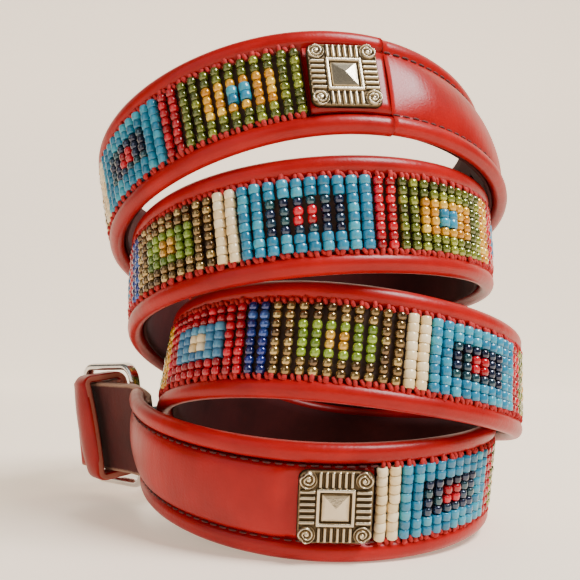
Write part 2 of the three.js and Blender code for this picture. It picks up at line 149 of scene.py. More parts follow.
def tubeMesh(name, rings, runs, capped=True, looped=False):
    rows, count = rings.shape[:2]
    vertices = rings.reshape(-1, 3)
    faces, flow = [], []
    closed = np.concatenate([rings[0], rings[0][:1]])
    outline = np.concatenate([[0], np.cumsum(np.linalg.norm(np.diff(closed, axis=0), axis=1))])
    for i in range(rows if looped else rows - 1):
        for k in range(count):
            j, n = (i + 1) % rows, (k + 1) % count
            faces.append((i * count + k, i * count + n, j * count + n, j * count + k))
            a, b = runs[i], runs[i + 1] if i + 1 < len(runs) else runs[i]
            flow += [(a, outline[k]), (a, outline[k + 1]), (b, outline[k + 1]), (b, outline[k])]
    if capped and not looped:
        faces.append(tuple(range(count)))
        faces.append(tuple((rows - 1) * count + k for k in range(count))[::-1])
        flow += [(runs[0], outline[k]) for k in range(count)]
        flow += [(runs[-1], outline[k]) for k in range(count)][::-1]
    mesh = bpy.data.meshes.new(name)
    mesh.from_pydata(vertices.tolist(), [], faces)
    layer = mesh.uv_layers.new(name="flow")
    layer.data.foreach_set("uv", np.array(flow, np.float32).ravel())
    shape = bmesh.new()
    shape.from_mesh(mesh)
    if shape.calc_volume(signed=True) < 0:
        bmesh.ops.reverse_faces(shape, faces=shape.faces)
    shape.to_mesh(mesh)
    shape.free()
    mesh.polygons.foreach_set("use_smooth", [True] * len(mesh.polygons))
    mesh.update()
    return mesh


def sweptAlong(name, lengths, outlineAt):
    origin, along, across, outward = strapFrames(lengths)
    outlines = np.array([outlineAt(length) for length in lengths])
    rings = origin[:, None] + across[:, None] * outlines[..., :1] + outward[:, None] * outlines[..., 1:]
    return newObject(name, tubeMesh(name, stood(rings), lengths * mm))


def vertexAttribute(mesh, name, values):
    layer = mesh.attributes.new(name, "FLOAT", "POINT")
    layer.data.foreach_set("value", np.asarray(values, np.float32))


def dressed(obj, material, worn=None):
    if worn is not None:
        vertexAttribute(obj.data, "worn", worn)
    obj.data.materials.append(material)
    return obj


def unworn(obj):
    return np.zeros(len(obj.data.vertices))


def facedMesh(name, points, faces):
    mesh = bpy.data.meshes.new(name)
    mesh.from_pydata(stood(points).tolist(), [], faces)
    shape = bmesh.new()
    shape.from_mesh(mesh)
    bmesh.ops.recalc_face_normals(shape, faces=shape.faces)
    shape.to_mesh(mesh)
    shape.free()
    return mesh


def smooth(x, a, b):
    t = np.clip((x - a) / (b - a), 0, 1)
    return t * t * (3 - 2 * t)


def spaced(start, end, step):
    return np.linspace(start, end, max(2, int(round((end - start) / step)) + 1))


# materials
def newMaterial(name):
    material = bpy.data.materials.new(name)
    material.use_nodes = True
    tree = material.node_tree
    return material, tree, tree.nodes["Principled BSDF"]


def put(tree, kind, **values):
    made = tree.nodes.new(kind)
    for key, value in values.items():
        if key in made.inputs.keys():
            made.inputs[key].default_value = value
        else:
            setattr(made, key, value)
    return made


def ramp(tree, source, stops):
    made = tree.nodes.new("ShaderNodeValToRGB")
    elements = made.color_ramp.elements
    while len(elements) < len(stops):
        elements.new(0.5)
    for element, (place, colour) in zip(elements, stops):
        element.position = place
        element.color = (*colour, 1)
    tree.links.new(source, made.inputs[0])
    return made.outputs["Color"]


def bumped(tree, shader, heights):
    last = None
    for source, strength, distance in heights:
        bump = put(tree, "ShaderNodeBump", Strength=strength, Distance=distance)
        tree.links.new(source, bump.inputs["Height"])
        if last:
            tree.links.new(last, bump.inputs["Normal"])
        last = bump.outputs["Normal"]
    tree.links.new(last, shader.inputs["Normal"])


wear = {"mottle": 0.6, "from": (0.75, 1.15)}


def leather(name, look):
    material, tree, shader = newMaterial(name)
    coords = tree.nodes.new("ShaderNodeTexCoord")
    shader.inputs["Coat Weight"].default_value = look["coat"]
    shader.inputs["Coat Roughness"].default_value = look["coatRough"]
    shader.inputs["Sheen Weight"].default_value = look["sheen"]
    shader.inputs["Specular IOR Level"].default_value = look["shine"]
    large = put(tree, "ShaderNodeTexNoise", Scale=look["patch"], Detail=4.0, Roughness=0.6)
    tree.links.new(coords.outputs["Object"], large.inputs["Vector"])
    colour = ramp(tree, large.outputs["Fac"], look["colours"])
    grain = put(tree, "ShaderNodeTexVoronoi", Scale=look["grain"], feature="DISTANCE_TO_EDGE")
    tree.links.new(coords.outputs["Object"], grain.inputs["Vector"])
    fine = put(tree, "ShaderNodeTexNoise", Scale=look["grain"] * 2.2, Detail=3.0)
    tree.links.new(coords.outputs["Object"], fine.inputs["Vector"])
    crease = put(tree, "ShaderNodeTexNoise", Scale=1.0, Detail=3.0, Roughness=0.55)
    stretch = put(tree, "ShaderNodeMapping", Scale=look["crease"])
    tree.links.new(coords.outputs["UV"], stretch.inputs["Vector"])
    tree.links.new(stretch.outputs["Vector"], crease.inputs["Vector"])
    rough = put(tree, "ShaderNodeMapRange")
    rough.inputs["To Min"].default_value, rough.inputs["To Max"].default_value = look["rough"]
    tree.links.new(large.outputs["Fac"], rough.inputs["Value"])
    tree.links.new(rough.outputs["Result"], shader.inputs["Roughness"])
    worn = look.get("worn")
    if worn:
        mask = put(tree, "ShaderNodeAttribute", attribute_name="worn")
        mottle = put(tree, "ShaderNodeMath", operation="MULTIPLY_ADD")
        tree.links.new(fine.outputs["Fac"], mottle.inputs[0])
        mottle.inputs[1].default_value = wear["mottle"]
        tree.links.new(mask.outputs["Fac"], mottle.inputs[2])
        amount = put(tree, "ShaderNodeMapRange")
        amount.inputs["From Min"].default_value, amount.inputs["From Max"].default_value = wear["from"]
        tree.links.new(mottle.outputs[0], amount.inputs["Value"])
        mix = put(tree, "ShaderNodeMix", data_type="RGBA")
        tree.links.new(amount.outputs["Result"], mix.inputs["Factor"])
        colourIn = {socket.name: socket for socket in mix.inputs if socket.type == "RGBA"}
        tree.links.new(colour, colourIn["A"])
        colourIn["B"].default_value = (*worn, 1)
        colour = next(socket for socket in mix.outputs if socket.type == "RGBA")
    tree.links.new(colour, shader.inputs["Base Color"])
    bumped(tree, shader, (
        (crease.outputs["Fac"], look["creaseStrength"], 0.0006),
        (grain.outputs["Distance"], look["grainStrength"], 0.0002),
        (fine.outputs["Fac"], look["grainStrength"] * 0.6, 0.0001),
    ))
    return material


redLeather = leather("redLeather", {
    "colours": ((0.3, (0.23, 0.0003, 0.0006)), (0.55, (0.33, 0.0006, 0.0008)), (0.8, (0.43, 0.0015, 0.0015))),
    "worn": (0.40, 0.13, 0.09), "patch": 70, "grain": 1500, "grainStrength": 0.16,
    "crease": (420, 60, 1), "creaseStrength": 0.16, "shine": 0.22, "rough": (0.32, 0.42),
    "coat": 0.12, "coatRough": 0.24, "sheen": 0.0,
})
liningLeather = leather("liningLeather", {
    "colours": ((0.3, (0.030, 0.005, 0.005)), (0.6, (0.052, 0.008, 0.008)), (0.85, (0.08, 0.013, 0.012))),
    "patch": 90, "grain": 2600, "grainStrength": 0.3, "crease": (300, 120, 1),
    "creaseStrength": 0.2, "shine": 0.1, "rough": (0.7, 0.9), "coat": 0.0, "coatRough": 0.5, "sheen": 0.03,
})
# chape leather: its dark brown is painted shade for the shadow of the strap's turns above; its light worn
# colour is the raw cut edge
shadePaintedRawLeather = leather("shadePaintedRawLeather", {
    "colours": ((0.3, (0.045, 0.006, 0.006)), (0.6, (0.08, 0.010, 0.009)), (0.85, (0.12, 0.018, 0.015))),
    "worn": (0.36, 0.21, 0.14), "patch": 120, "grain": 1900, "grainStrength": 0.35, "crease": (260, 200, 1),
    "creaseStrength": 0.25, "shine": 0.2, "rough": (0.55, 0.8), "coat": 0.0, "coatRough": 0.5, "sheen": 0.1,
})


def metal(name, look):
    material, tree, shader = newMaterial(name)
    coords = tree.nodes.new("ShaderNodeTexCoord")
    shader.inputs["Metallic"].default_value = 1.0
    tarnish = put(tree, "ShaderNodeTexNoise", Scale=look["patch"], Detail=5.0, Roughness=0.65)
    tree.links.new(coords.outputs["Object"], tarnish.inputs["Vector"])
    value = tarnish.outputs["Fac"]
    if "relief" in look:
        height = put(tree, "ShaderNodeAttribute", attribute_name="relief")
        blend = put(tree, "ShaderNodeMath", operation="MULTIPLY_ADD")
        tree.links.new(tarnish.outputs["Fac"], blend.inputs[0])
        blend.inputs[1].default_value = look["relief"]
        tree.links.new(height.outputs["Fac"], blend.inputs[2])
        value = blend.outputs[0]
    tree.links.new(ramp(tree, value, look["colours"]), shader.inputs["Base Color"])
    rough = put(tree, "ShaderNodeMapRange")
    rough.inputs["To Min"].default_value, rough.inputs["To Max"].default_value = look["rough"]
    tree.links.new(value, rough.inputs["Value"])
    tree.links.new(rough.outputs["Result"], shader.inputs["Roughness"])
    scratch = put(tree, "ShaderNodeTexNoise", Scale=look["scratch"], Detail=4.0)
    tree.links.new(coords.outputs["Object"], scratch.inputs["Vector"])
    bumped(tree, shader, ((scratch.outputs["Fac"], look["bump"], 0.0001),))
    return material


agedSilver = metal("agedSilver", {
    "colours": (
        (0.12, (0.028, 0.018, 0.009)), (0.45, (0.15, 0.105, 0.055)),
        (0.68, (0.38, 0.31, 0.20)), (0.95, (0.60, 0.52, 0.38)),
    ),
    "patch": 600, "rough": (0.5, 0.24), "scratch": 2500, "bump": 0.2, "relief": 0.3,
})
polishedSteel = metal("polishedSteel", {
    "colours": ((0.3, (0.60, 0.58, 0.55)), (0.7, (0.80, 0.78, 0.75))),
    "patch": 160, "rough": (0.1, 0.26), "scratch": 1800, "bump": 0.08,
})


def beadGlass(name, look):
    material, tree, shader = newMaterial(name)
    tint = put(tree, "ShaderNodeAttribute", attribute_name="tint")
    tree.links.new(ramp(tree, tint.outputs["Fac"], look["colours"]), shader.inputs["Base Color"])
    shader.inputs["Metallic"].default_value = look.get("metallic", 0.0)
    shader.inputs["Roughness"].default_value = look.get("rough", 0.14)
    shader.inputs["Coat Weight"].default_value = look.get("coat", 1.0)
    shader.inputs["Coat Roughness"].default_value = 0.06
    shader.inputs["Transmission Weight"].default_value = look.get("clear", 0.0)
    shader.inputs["IOR"].default_value = 1.5
    return material


def threadMaterial(name, colours, scale):
    material, tree, shader = newMaterial(name)
    coords = tree.nodes.new("ShaderNodeTexCoord")
    fuzz = put(tree, "ShaderNodeTexNoise", Scale=scale, Detail=4.0)
    tree.links.new(coords.outputs["Object"], fuzz.inputs["Vector"])
    tree.links.new(ramp(tree, fuzz.outputs["Fac"], colours), shader.inputs["Base Color"])
    shader.inputs["Roughness"].default_value = 0.75
    shader.inputs["Sheen Weight"].default_value = 0.03
    bumped(tree, shader, ((fuzz.outputs["Fac"], 0.5, 0.0002),))
    return material


print("materials made")

# leather strap, lining, pad and tongue
def rollOutline(half, steps=13):
    rollHalf = strap["edgeRoll"] / 2
    angles = np.radians(np.linspace(140, -90, steps))
    right = np.stack([half - rollHalf + rollHalf * np.cos(angles), halfEdge * np.sin(angles)], 1)
    return right, (right * [-1, 1])[::-1]


def waver(length, seed, size):  # slow unevenness of hand work
    slow = math.sin(length * 0.31 + seed)
    middling = 0.6 * math.sin(length * 0.83 + 2.1 * seed)
    return size * (slow + middling + 0.4 * math.sin(length * 1.9 + seed))


def strapOutline(length):
    right, left = rollOutline(coil["width"] / 2)
    right = right * [1, 1 + waver(length, 1.3, 0.008)]
    left = left * [1, 1 + waver(length, 4.1, 0.008)]
    bottom = np.array([[x, -halfEdge] for x in np.linspace(-6.5, 6.5, 5)[::-1]])
    channel = np.array([[x, webTop] for x in np.linspace(-halfChannel, halfChannel, 7)])
    return np.concatenate([right, bottom, left, channel])


leatherBody = sweptAlong("strapLeather", spaced(-strap["endLength"], tongueStart - 0.04, 1.1), strapOutline)
worn = unworn(leatherBody)
rowCount = len(strapOutline(0))
for row, amount in enumerate(strap["wear"]):
    worn[row * rowCount:(row + 1) * rowCount] = amount
dressed(leatherBody, redLeather, worn)


def tongueHalf(length):
    inTip = min(1, max(0, (length - (tipEnd - tongue["tip"])) / tongue["tip"]))
    narrow = tongue["tipWidth"] / 2
    return narrow + (tongue["width"] / 2 - narrow) * math.sqrt(1 - inTip**2)


tipAngles = np.linspace(0, math.pi / 2, 22)[:-1]
tipLengths = tipEnd - tongue["tip"] * (1 - np.sin(tipAngles))


def liningOutline(length):
    half = (coil["width"] / 2 if length < tongueStart else tongueHalf(length)) - strap["liningInset"]
    top = [[x * half, liningTop] for x in np.linspace(1, -1, 7)]
    back = [(x, strap["lining"] * (1 - 0.35 * abs(x) ** 8)) for x in np.linspace(-1, 1, 9)]
    return np.array(top + [[x * half, liningTop - thick] for x, thick in back])


def holed(obj):
    cutters = []
    for k in range(tongue["holes"]):
        place = tipEnd - tongue["holeFromTip"] - k * tongue["holePitch"]
        origin, along, across, outward = frameAt(place)
        angles = np.linspace(0, 2 * math.pi, 28, endpoint=False)[:, None]
        circle = tongue["hole"] * (np.cos(angles) * along + np.sin(angles) * across)
        rings = [origin + outward * tongue["punch"] * side + circle for side in (-1, 1)]
        cutters.append(newObject("punch", tubeMesh("punch", stood(np.array(rings)), [0, 1])))
    for cutter in cutters:
        cut = obj.modifiers.new("punch", "BOOLEAN")
        cut.object, cut.solver = cutter, "EXACT"
    applied(obj)
    for cutter in cutters:
        bpy.data.objects.remove(cutter)


def applied(obj):
    graph = bpy.context.evaluated_depsgraph_get()
    solid = obj.evaluated_get(graph)
    mesh = bpy.data.meshes.new_from_object(solid, preserve_all_data_layers=True, depsgraph=graph)
    obj.modifiers.clear()
    obj.data = mesh


liningStart = -strap["endLength"] + strap["chapeRoot"] + strap["gap"]
liningTip = tipLengths[tipLengths < tipEnd - strap["liningInset"] - 0.4]
liningLengths = np.concatenate([spaced(liningStart, tipEnd - tongue["tip"] - 1, 1.6), liningTip])
liningBody = dressed(sweptAlong("liningLeather", liningLengths, liningOutline), liningLeather)
holed(liningBody)


def padOutline(length):
    flatStart = -strap["gap"] * 3 - concho["side"]
    share = float(smooth(flatStart - length, 0, pad["ramp"]))
    edge = seat + tabThickness + pad["edge"] * share
    crown = pad["crown"] * share + waver(length, 0.7, pad["waver"])
    xs = np.linspace(1, -1, 23)
    top = [[x * panelHalf, edge + crown * (1 - x**2) - pad["sideDrop"] * abs(x) ** 14] for x in xs]
    return np.array([[panelHalf, seat], *top, [-panelHalf, seat]])


padBody = sweptAlong("padLeather", spaced(-strap["endLength"], -strap["gap"], 0.9), padOutline)
worn = unworn(padBody)
worn[:len(padOutline(0))] = 1.0
dressed(padBody, redLeather, worn)


def tongueOutline(length):
    half = tongueHalf(length)
    scale = 2 * half / tongue["width"]
    right, left = rollOutline(tongue["width"] / 2)
    groove = halfChannel * scale
    xs = np.concatenate([[-0.985, -0.95], np.linspace(-0.85, 0.85, 17), [0.95, 0.985]])
    swell = 0.28 + 0.72 * float(smooth(length, tongueStart, tongueStart + 9))
    crown = (tongue["crown"] + tongue["grooveDepth"]) * swell * (1 - np.abs(xs) ** 2.4)
    rise = halfEdge - tongue["grooveDepth"] + crown - 0.15 * np.abs(xs) ** 16
    dome = np.stack([xs * groove, rise], 1)
    bottom = np.array([[x * scale, -halfEdge] for x in (4, 0, -4)])
    return np.concatenate([right * [scale, 1], bottom, left * [scale, 1], dome])


def tabOutline(length):
    top = seat + tabThickness
    xs = np.linspace(1, -1, 7)
    return np.array([[panelHalf, seat], *[[x * panelHalf, top] for x in xs], [-panelHalf, seat]])


tongueLengths = np.concatenate([spaced(tongueStart, tipEnd - tongue["tip"] - 0.8, 0.9), tipLengths])
tongueBody = sweptAlong("tongueLeather", tongueLengths, tongueOutline)
dressed(tongueBody, redLeather, unworn(tongueBody))
holed(tongueBody)
tabLengths = spaced(panelLength + strap["gap"], tongueStart + 0.1, 0.9)
tabBody = sweptAlong("tongueTab", tabLengths, tabOutline)
dressed(tabBody, redLeather, unworn(tabBody))
print("leather made")

# seed beads
blockKinds = (  # colour of the outer border, the inner field, the centre and the columns before the block
    ("turquoise", "midnight", "ruby", "cream"),
    ("olive", "amber", "turquoise", "ruby"),
    ("ruby", "cornflower", "cream", "amber"),
    ("bronze", "lime", "gold", "sapphire"),
)
beadLooks = {
    "turquoise": {
        "colours": ((0.0, (0.01, 0.14, 0.25)), (0.5, (0.016, 0.21, 0.36)), (1.0, (0.04, 0.34, 0.46))),
        "rough": 0.2, "coat": 0.3,
    },
    "cream": {
        "colours": ((0.0, (0.74, 0.55, 0.27)), (1.0, (0.9, 0.76, 0.5))),
        "rough": 0.2, "coat": 0.4,
    },
    "midnight": {
        "colours": ((0.0, (0.006, 0.008, 0.03)), (0.5, (0.012, 0.025, 0.07)), (1.0, (0.02, 0.09, 0.1))),
        "metallic": 0.5, "rough": 0.1, "cut": True,
    },
    "ruby": {
        "colours": ((0.0, (0.24, 0.0005, 0.004)), (0.6, (0.44, 0.001, 0.009)), (1.0, (0.62, 0.004, 0.02))),
        "rough": 0.12, "coat": 0.5, "cut": True,
    },
    "olive": {
        "colours": ((0.0, (0.07, 0.085, 0.008)), (0.6, (0.15, 0.18, 0.015)), (1.0, (0.34, 0.38, 0.04))),
        "metallic": 0.45, "rough": 0.1, "cut": True,
    },
    "amber": {
        "colours": ((0.0, (0.5, 0.2, 0.004)), (0.6, (0.74, 0.38, 0.012)), (1.0, (0.9, 0.6, 0.06))),
        "metallic": 0.25, "rough": 0.14, "coat": 0.6, "cut": True,
    },
    "cornflower": {
        "colours": ((0.0, (0.03, 0.13, 0.3)), (1.0, (0.09, 0.32, 0.5))),
        "rough": 0.18, "coat": 0.4,
    },
    "bronze": {
        "colours": ((0.0, (0.11, 0.055, 0.014)), (0.6, (0.26, 0.155, 0.04)), (1.0, (0.52, 0.36, 0.12))),
        "metallic": 0.8, "rough": 0.13, "cut": True,
    },
    "lime": {
        "colours": ((0.0, (0.07, 0.13, 0.006)), (1.0, (0.26, 0.38, 0.03))),
        "metallic": 0.3, "rough": 0.1, "cut": True,
    },
    "gold": {
        "colours": ((0.0, (0.52, 0.25, 0.015)), (1.0, (0.85, 0.52, 0.07))),
        "metallic": 0.5, "rough": 0.12, "cut": True,
    },
    "sapphire": {
        "colours": ((0.0, (0.006, 0.01, 0.09)), (0.6, (0.01, 0.025, 0.22)), (1.0, (0.04, 0.12, 0.42))),
        "metallic": 0.35, "rough": 0.08, "cut": True,
    },
}


def beadColour(column, row):  # a square in a square in a border
    block, place = divmod(column, beads["blockColumns"] + beads["between"])
    border, field, centre, before = blockKinds[block % len(blockKinds)]
    if place < beads["between"]:
        return before
    x, y = place - beads["between"], row
    if 4 <= x <= 5 and 3 <= y <= 4:
        return centre
    return field if 2 <= x <= 7 and 2 <= y <= 5 else border


beadProfiles = {  # radius share and length share from hole to hole; None is the hole's own radius
    True: ((None, -0.85), (0.62, -1), (0.9, -0.66), (1, 0), (0.9, 0.66), (0.62, 1), (None, 0.85)),
    False: ((None, -0.9), (0.82, -1), (0.97, -0.8), (1, 0), (0.97, 0.8), (0.82, 1), (None, 0.9)),
}


def beadShape(cut):
    radius = (beads["cutWidth"] if cut else beads["opaqueWidth"]) / 2
    sides = 10 if cut else 12
    angles = np.linspace(0, 2 * math.pi, sides, endpoint=False) + (math.pi / sides if cut else 0)
    rings = []
    for share, z in beadProfiles[cut]:
        reach = beads["hole"] / 2 if share is None else share * radius
        height = np.full(sides, z * beads["length"] / 2)
        rings.append(np.stack([reach * np.cos(angles), reach * np.sin(angles), height], 1))
    mesh = tubeMesh("bead", np.array(rings) * mm, np.arange(len(rings)) * mm, looped=True)
    return bpy.data.objects.new("beadShape", mesh)


def repeatTree(name):
    tree = bpy.data.node_groups.new(name, "GeometryNodeTree")
    for title, kind in (("Geometry", "Geometry"), ("Shape", "Object"), ("Size scatter", "Float"),
                        ("Seed", "Int"), ("Finish", "Material")):
        tree.interface.new_socket(title, in_out="INPUT", socket_type="NodeSocket" + kind)
    tree.interface.new_socket("Geometry", in_out="OUTPUT", socket_type="NodeSocketGeometry")
    nodes, link = tree.nodes, tree.links.new
    source, sink = nodes.new("NodeGroupInput"), nodes.new("NodeGroupOutput")
    shape = nodes.new("GeometryNodeObjectInfo")
    link(source.outputs["Shape"], shape.inputs["Object"])
    facing = nodes.new("GeometryNodeInputNamedAttribute")
    facing.data_type = "FLOAT_VECTOR"
    facing.inputs["Name"].default_value = "facing"
    rotation = nodes.new("FunctionNodeEulerToRotation")
    link(facing.outputs["Attribute"], rotation.inputs["Euler"])
    spread = nodes.new("FunctionNodeRandomValue")
    spread.data_type = "FLOAT_VECTOR"
    low, high = nodes.new("ShaderNodeMath"), nodes.new("ShaderNodeMath")
    low.operation, high.operation = "SUBTRACT", "ADD"
    for limit in (low, high):
        limit.inputs[0].default_value = 1.0
        link(source.outputs["Size scatter"], limit.inputs[1])
    link(low.outputs[0], spread.inputs[0])
    link(high.outputs[0], spread.inputs[1])
    link(source.outputs["Seed"], spread.inputs["Seed"])
    instance = nodes.new("GeometryNodeInstanceOnPoints")
    link(source.outputs["Geometry"], instance.inputs["Points"])
    link(shape.outputs["Geometry"], instance.inputs["Instance"])
    link(rotation.outputs[0], instance.inputs["Rotation"])
    link(spread.outputs[0], instance.inputs["Scale"])
    shade = nodes.new("FunctionNodeRandomValue")
    shade.data_type = "FLOAT"
    link(source.outputs["Seed"], shade.inputs["Seed"])
    store = nodes.new("GeometryNodeStoreNamedAttribute")
    store.data_type, store.domain = "FLOAT", "INSTANCE"
    store.inputs["Name"].default_value = "tint"
    link(instance.outputs[0], store.inputs["Geometry"])
    link(shade.outputs[1], store.inputs["Value"])
    real = nodes.new("GeometryNodeRealizeInstances")
    link(store.outputs[0], real.inputs[0])
    finish = nodes.new("GeometryNodeSetMaterial")
    link(real.outputs[0], finish.inputs["Geometry"])
    link(source.outputs["Finish"], finish.inputs["Material"])
    link(finish.outputs[0], sink.inputs[0])
    return tree


beadTree = repeatTree("strungBeads")


def repeated(name, tree, places, turns, shape, scatter, seed, material):
    mesh = bpy.data.meshes.new(name)
    mesh.from_pydata(np.asarray(places).tolist(), [], [])
    layer = mesh.attributes.new("facing", "FLOAT_VECTOR", "POINT")
    layer.data.foreach_set("vector", np.asarray(turns, np.float32).ravel())
    obj = newObject(name, mesh)
    modifier = obj.modifiers.new("repeat", "NODES")
    modifier.node_group = tree
    sockets = {item.name: item.identifier for item in tree.interface.items_tree if item.in_out == "INPUT"}
    modifier[sockets["Shape"]] = shape
    modifier[sockets["Size scatter"]] = scatter
    modifier[sockets["Seed"]] = seed
    modifier[sockets["Finish"]] = material
    applied(obj)
    if "facing" in obj.data.attributes:
        obj.data.attributes.remove(obj.data.attributes["facing"])
    return obj


def turnedTo(x, y, z):
    return Matrix((turnBase @ np.stack([x, y, z], 1)).tolist())


dice = np.random.default_rng(11)
columnCount = beads["blocks"] * (beads["blockColumns"] + beads["between"])
columnLengths = (np.arange(columnCount) + 0.5) * beads["pitch"]
origin, along, across, outward = strapFrames(columnLengths)
rowPitch = 2 * panelHalf / beads["rows"]
sway = dice.normal(0, beads["sway"] * 0.5, columnCount)
byColour = {}
for column in range(columnCount):
    o, a, c, w = origin[column], along[column], across[column], outward[column]
    columnTurn = turnedTo(w, a, c)
    for row in range(beads["rows"]):
        v = panelHalf - (row + 0.5) * rowPitch + sway[column] * 0.5
        n = seat + beads["height"] / 2 + dice.normal(0, beads["riseScatter"])
        shift = dice.normal(0, beads["placeScatter"])
        spin = Matrix.Rotation(dice.uniform(0, 2 * math.pi), 3, "Z")
        tip = Matrix.Rotation(dice.normal(0, beads["tipScatter"]), 3, "X")
        turn = (columnTurn @ tip @ spin).to_euler("XYZ")
        byColour.setdefault(beadColour(column, row), []).append((o + c * v + w * n + a * shift, turn))
shapes = {True: beadShape(True), False: beadShape(False)}
beadPieces = []
for k, (colour, look) in enumerate(beadLooks.items()):
    places, turns = zip(*byColour[colour])
    shape, glass = shapes[look.get("cut", False)], beadGlass(colour + "Glass", look)
    title = "beads_" + colour
    beadPieces.append(repeated(title, beadTree, stood(places), turns, shape, beads["scatter"], 20 + k, glass))


def backingOutline(length):
    top = seat + beads["backing"]
    xs = np.linspace(1, -1, 9)
    return np.array([[panelHalf, seat], *[[x * panelHalf, top] for x in xs], [-panelHalf, seat]])


backingColours = ((0.3, (0.018, 0.006, 0.003)), (0.7, (0.05, 0.018, 0.008)))
backingThread = threadMaterial("backingThread", backingColours, 1500)
backing = dressed(sweptAlong("beadBacking", spaced(0, panelLength, 1.11), backingOutline), backingThread)

# red stitches that tie each column to the leather
stitch = {
    "radius": 0.42, "reach": 1.55, "rise": 0.34, "drop": 0.3, "sides": 6, "steps": 7, "scatter": 0.16,
    "sway": 0.14, "cross": 0.5, "inset": (0.3, 0.12), "height": (1.2, 0.95),
    "placeScatter": 0.05, "riseScatter": 0.08,
}


def roundRing(size, sides):
    angles = np.linspace(0, 2 * math.pi, sides, endpoint=False)
    return size * np.cos(angles), size * np.sin(angles)


def threadShape(name, rings):
    mesh = tubeMesh(name, np.array(rings) * mm, np.arange(len(rings)) * mm)
    return bpy.data.objects.new(name + "Shape", mesh)


def stitchShape():
    rings = []
    for t in np.linspace(0, 1, stitch["steps"]):
        y = (t - 0.1) * stitch["reach"]
        z = stitch["rise"] * math.sin(math.pi * t) - stitch["drop"] * t
        across, upward = roundRing(stitch["radius"] * (0.75 + 0.25 * math.sin(math.pi * t)), stitch["sides"])
        rings.append(np.stack([across, np.full(stitch["sides"], y), z + upward], 1))
    return threadShape("stitch", rings)


stitchPlaces, stitchTurns = [], []
loopLengths = np.arange(2 * columnCount) * beads["pitch"] / 2 + beads["pitch"] / 2
loopFrames = strapFrames(loopLengths[loopLengths < panelLength])
for k, (o, a, c, w) in enumerate(zip(*loopFrames)):
    between = k % 2  # every second loop crosses between two columns
    for side in (1, -1):
        place = panelHalf - stitch["inset"][between] + dice.normal(0, stitch["placeScatter"])
        rise = seat + stitch["height"][between] + dice.normal(0, stitch["riseScatter"])
        lean = dice.normal(0, stitch["sway"]) + stitch["cross"] * between
        run = unit(a * side + c * side * math.tan(lean))
        stitchPlaces.append(o + c * side * place + w * rise)
        stitchTurns.append(turnedTo(run, np.cross(w, run), w).to_euler("XYZ"))
redThread = threadMaterial("redThread", ((0.3, (0.24, 0.001, 0.002)), (0.7, (0.52, 0.006, 0.006))), 2600)
stitches = repeated("edgeStitches", beadTree, stood(stitchPlaces), stitchTurns, stitchShape(),
                    stitch["scatter"], 5, redThread)

# dark seam stitches in the grooves beside the pad and along the tongue
seam = {
    "pitch": 1.9, "length": 1.3, "radius": 0.2, "rise": 0.08, "scatter": 0.08, "sides": 6,
    "depthScatter": 0.03,
}


def seamShape():
    rings = []
    for t in np.linspace(-1, 1, 6):
        across, upward = roundRing(seam["radius"] * math.sqrt(1 - 0.6 * t**4), seam["sides"])
        run = np.full(seam["sides"], t * seam["length"] / 2)
        rings.append(np.stack([run, across, upward - seam["rise"] * t * t], 1))
    return threadShape("seam", rings)


def seamPlace(length):  # distance from the middle, and how fast it narrows
    if length < tongueStart:
        return halfChannel - 0.12, 0
    narrowing = (tongueHalf(length + 0.3) - tongueHalf(length - 0.3)) / 0.6
    return tongueHalf(length) * (halfChannel * 2 / tongue["width"]), narrowing


seamPlaces, seamTurns = [], []
seamRuns = ((-strap["endLength"] + 1, -strap["gap"], 0.98), (tongueStart + 0.8, tipEnd - 4, 1.02))
for start, end, depth in seamRuns:
    lengths = spaced(start, end, seam["pitch"])
    for length, o, a, c, w in zip(lengths, *strapFrames(lengths)):
        half, slope = seamPlace(length)
        for side in (1, -1):
            run = unit(a + c * side * slope)
            seamPlaces.append(o + c * side * half + w * (depth + dice.normal(0, seam["depthScatter"])))
            seamTurns.append(turnedTo(run, np.cross(w, run), w).to_euler("XYZ"))
darkThread = threadMaterial("darkThread", ((0.3, (0.03, 0.002, 0.002)), (0.7, (0.10, 0.006, 0.006))), 2600)
seams = repeated("seamStitches", beadTree, stood(seamPlaces), seamTurns, seamShape(),
                 seam["scatter"], 6, darkThread)
print("beads made:", sum(len(v) for v in byColour.values()))

# conchos
def conchoHeight(x, y):
    half, plate = concho["side"] / 2, concho["plate"]
    ax, ay = np.abs(x), np.abs(y)
    big, small = np.maximum(ax, ay), np.minimum(ax, ay)
    ribStart, ribHalf = concho["ribFrom"], concho["scrollPlace"] - concho["scroll"]
    ribZone = smooth(big, ribStart, ribStart + 0.25) * (1 - smooth(big, half - 0.45, half - 0.1))
    ribPitch = 2 * ribHalf / concho["ribs"]
    wave = np.clip(np.cos((small / ribPitch) * 2 * math.pi - math.pi) * 0.75 + 0.45, 0, 1) ** 0.6
    inRow = 1 - smooth(small, ribHalf - 0.05, ribHalf + 0.1)
    height = plate + concho["ribRise"] * ribZone * wave * inRow
    for sx, sy in ((-1, -1), (-1, 1), (1, -1), (1, 1)):
        dx, dy = (x - sx * concho["scrollPlace"]) * sx, (y - sy * concho["scrollPlace"]) * sy
        height = scrolled(height, dx, dy, sx * sy)
    inner, outer = concho["frame"]
    band = (1 - smooth(big, outer - 0.18, outer)) * smooth(big, inner - 0.12, inner + 0.1)
    height = np.where(big < outer, plate + concho["frameRise"] * band, height)
    reach, (foot, rise) = concho["pyramid"], concho["pyramidRise"]
    inside = 1 - smooth(big, reach - 0.3, reach)
    slope = plate + foot + rise * (1 - big / reach)
    height = np.where(big < reach, plate * (1 - inside) + slope * inside, height)
    rim = smooth(big, half - 0.55, half - 0.3) * (1 - smooth(big, half - 0.28, half))
    height = np.maximum(height, plate + concho["rimRise"] * rim)
    return height - concho["edgeDrop"] * smooth(big, half - 0.18, half)


